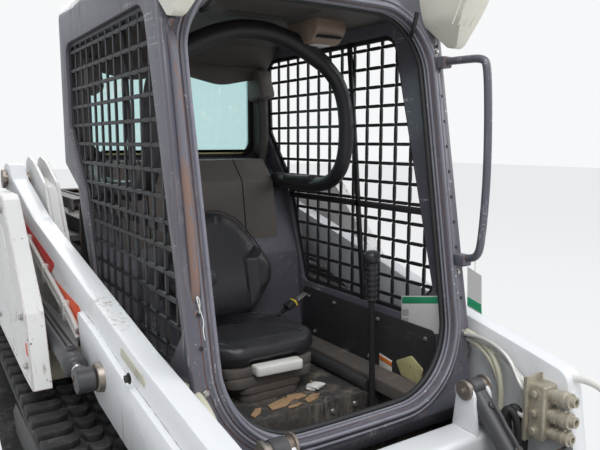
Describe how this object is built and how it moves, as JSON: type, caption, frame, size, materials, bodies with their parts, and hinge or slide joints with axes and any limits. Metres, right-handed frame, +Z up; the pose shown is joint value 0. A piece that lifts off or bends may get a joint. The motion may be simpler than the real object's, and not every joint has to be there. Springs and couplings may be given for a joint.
{
  "type": "rubber-tracked skid steer loader",
  "caption": "Compact loader on rubber tracks: open-front cab with perforated side screens, two lift arms with cylinders, and a tilting quick-attach carrier.",
  "frame": {"origin": "on the ground, under the middle of the overall length and width", "axes": "+Z up; the front of the machine faces -Y, its length runs along Y, and its left side is +X"},
  "size_m": [1.676, 2.64, 1.976],
  "materials": {
    "white_paint": "worn gloss paint with rust along its edges",
    "cab_paint": "worn satin paint, scratched and rusty at the edges",
    "black_paint": "worn satin paint",
    "track_rubber": "dusty",
    "wheel_steel": "dusty paint over cast iron",
    "chrome_rod": "ground and polished",
    "pin_steel": "bare, brown with grease",
    "tank_plastic": "dusty moulded plastic",
    "trim_plastic": "grained moulded plastic",
    "seat_vinyl": "vinyl, scuffed",
    "grip_plastic": "moulded",
    "window_glass": "tinted",
    "lamp_body": "clear lens over a pale reflector in a black housing",
    "tail_lamp_lens": "red lens",
    "coupler_steel": "yellow zinc plating, dirty",
    "engine_iron": "painted",
    "cooler_aluminium": "dusty fins",
    "mount_rubber": "plain"
  },
  "bodies": {
    "frame": {"tub": "cab_paint", "cab_mounts": "mount_rubber", "upright_left": "white_paint", "upright_right": "white_paint", "arm_pivot_pins": "pin_steel", "track_frame_left": "black_paint", "track_frame_right": "black_paint", "track_left": "track_rubber", "track_right": "track_rubber", "track_wheels": "wheel_steel", "drive_sprockets": "black_paint", "side_tanks": "tank_plastic", "engine_block": "engine_iron", "cooling_pack": "cooler_aluminium", "tail_lamps": "tail_lamp_lens"},
    "lift_arms": {"lift_arm_left": "white_paint", "lift_arm_right": "white_paint", "arm_crossmember": "white_paint", "arm_hard_lines": "white_paint", "coupler_block": "coupler_steel", "coupler_guard": "white_paint"},
    "carrier": {"carrier_frame": "black_paint", "carrier_levers": "pin_steel"},
    "cab": {"cab_frame": "cab_paint", "cab_roof": "cab_paint", "cab_floor": "cab_paint", "cab_trim": "trim_plastic", "side_screen_left": "cab_paint", "side_screen_right": "cab_paint", "rear_window": "window_glass", "seat_base": "black_paint", "seat_cushion": "seat_vinyl", "seat_back": "seat_vinyl", "control_levers": "grip_plastic", "front_lamps": "lamp_body", "grab_handles": "white_paint"},
    "seat_bar": {"seat_bar": "cab_paint"},
    "tailgate": {"tailgate": "white_paint"},
    "top_screen": {"top_screen": "black_paint"},
    "lift_barrel_left": {"lift_cylinder_barrel_left": "cab_paint"},
    "lift_barrel_right": {"lift_cylinder_barrel_right": "cab_paint"},
    "lift_rod_left": {"lift_cylinder_rod_left": "chrome_rod"},
    "lift_rod_right": {"lift_cylinder_rod_right": "chrome_rod"},
    "tilt_barrel_left": {"tilt_cylinder_barrel_left": "black_paint"},
    "tilt_barrel_right": {"tilt_cylinder_barrel_right": "black_paint"},
    "tilt_rod_left": {"tilt_cylinder_rod_left": "chrome_rod"},
    "tilt_rod_right": {"tilt_cylinder_rod_right": "chrome_rod"}
  },
  "joints": [
    {"name": "lift", "type": "hinge", "parent": "frame", "child": "lift_arms", "pos_m": [0, 1.06, 1.205], "axis": [-1, 0, 0], "range_deg": [0, 68]},
    {"name": "tilt", "type": "hinge", "parent": "lift_arms", "child": "carrier", "pos_m": [0, -1.15, 0.205], "axis": [-1, 0, 0], "range_deg": [-90, 20]},
    {"name": "cab_tilt", "type": "hinge", "parent": "frame", "child": "cab", "pos_m": [0, 0.495, 1.17], "axis": [-1, 0, 0], "range_deg": [0, 40]},
    {"name": "seat_bar_turn", "type": "hinge", "parent": "cab", "child": "seat_bar", "pos_m": [0, 0.345, 1.2], "axis": [1, 0, 0], "range_deg": [0, 70]},
    {"name": "tailgate_swing", "type": "hinge", "parent": "frame", "child": "tailgate", "pos_m": [-0.536, 1.272, 0.7], "axis": [0, 0, 1], "range_deg": [0, 100]},
    {"name": "top_screen_lift", "type": "hinge", "parent": "frame", "child": "top_screen", "pos_m": [0, 0.56, 1.105], "axis": [-1, 0, 0], "range_deg": [-50, 0]},
    {"name": "lift_barrel_left_swing", "type": "hinge", "parent": "frame", "child": "lift_barrel_left", "pos_m": [0.705, 0.88, 0.745], "axis": [-1, 0, 0], "range_deg": [0, 65.9]},
    {"name": "lift_rod_left_slide", "type": "slide", "parent": "lift_barrel_left", "child": "lift_rod_left", "axis": [0, -0.9978, -0.0657], "range_m": [0, 0.551]},
    {"name": "tilt_barrel_left_swing", "type": "hinge", "parent": "lift_arms", "child": "tilt_barrel_left", "pos_m": [0.37, -0.93, 0.6], "axis": [-1, 0, 0], "range_deg": [-0.9, 3]},
    {"name": "tilt_rod_left_slide", "type": "slide", "parent": "tilt_barrel_left", "child": "tilt_rod_left", "axis": [0, -0.6838, -0.7297], "range_m": [-0.036, 0.158]},
    {"name": "lift_barrel_right_swing", "type": "hinge", "parent": "frame", "child": "lift_barrel_right", "pos_m": [-0.705, 0.88, 0.745], "axis": [-1, 0, 0], "range_deg": [0, 65.9]},
    {"name": "lift_rod_right_slide", "type": "slide", "parent": "lift_barrel_right", "child": "lift_rod_right", "axis": [0, -0.9978, -0.0657], "range_m": [0, 0.551]},
    {"name": "tilt_barrel_right_swing", "type": "hinge", "parent": "lift_arms", "child": "tilt_barrel_right", "pos_m": [-0.37, -0.93, 0.6], "axis": [-1, 0, 0], "range_deg": [-0.9, 3]},
    {"name": "tilt_rod_right_slide", "type": "slide", "parent": "tilt_barrel_right", "child": "tilt_rod_right", "axis": [0, -0.6838, -0.7297], "range_m": [-0.036, 0.158]}
  ],
  "couplings": [
    {"joint": "lift_barrel_left_swing", "follows": "lift", "ratio": 0.95971},
    {"joint": "lift_rod_left_slide", "follows": "lift", "m_per_rad": 0.46164},
    {"joint": "tilt_barrel_left_swing", "follows": "tilt", "ratio": -0.03},
    {"joint": "tilt_rod_left_slide", "follows": "tilt", "m_per_rad": -0.1},
    {"joint": "lift_barrel_right_swing", "follows": "lift", "ratio": 0.95971},
    {"joint": "lift_rod_right_slide", "follows": "lift", "m_per_rad": 0.46164},
    {"joint": "tilt_barrel_right_swing", "follows": "tilt", "ratio": -0.03},
    {"joint": "tilt_rod_right_slide", "follows": "tilt", "m_per_rad": -0.1}
  ]
}
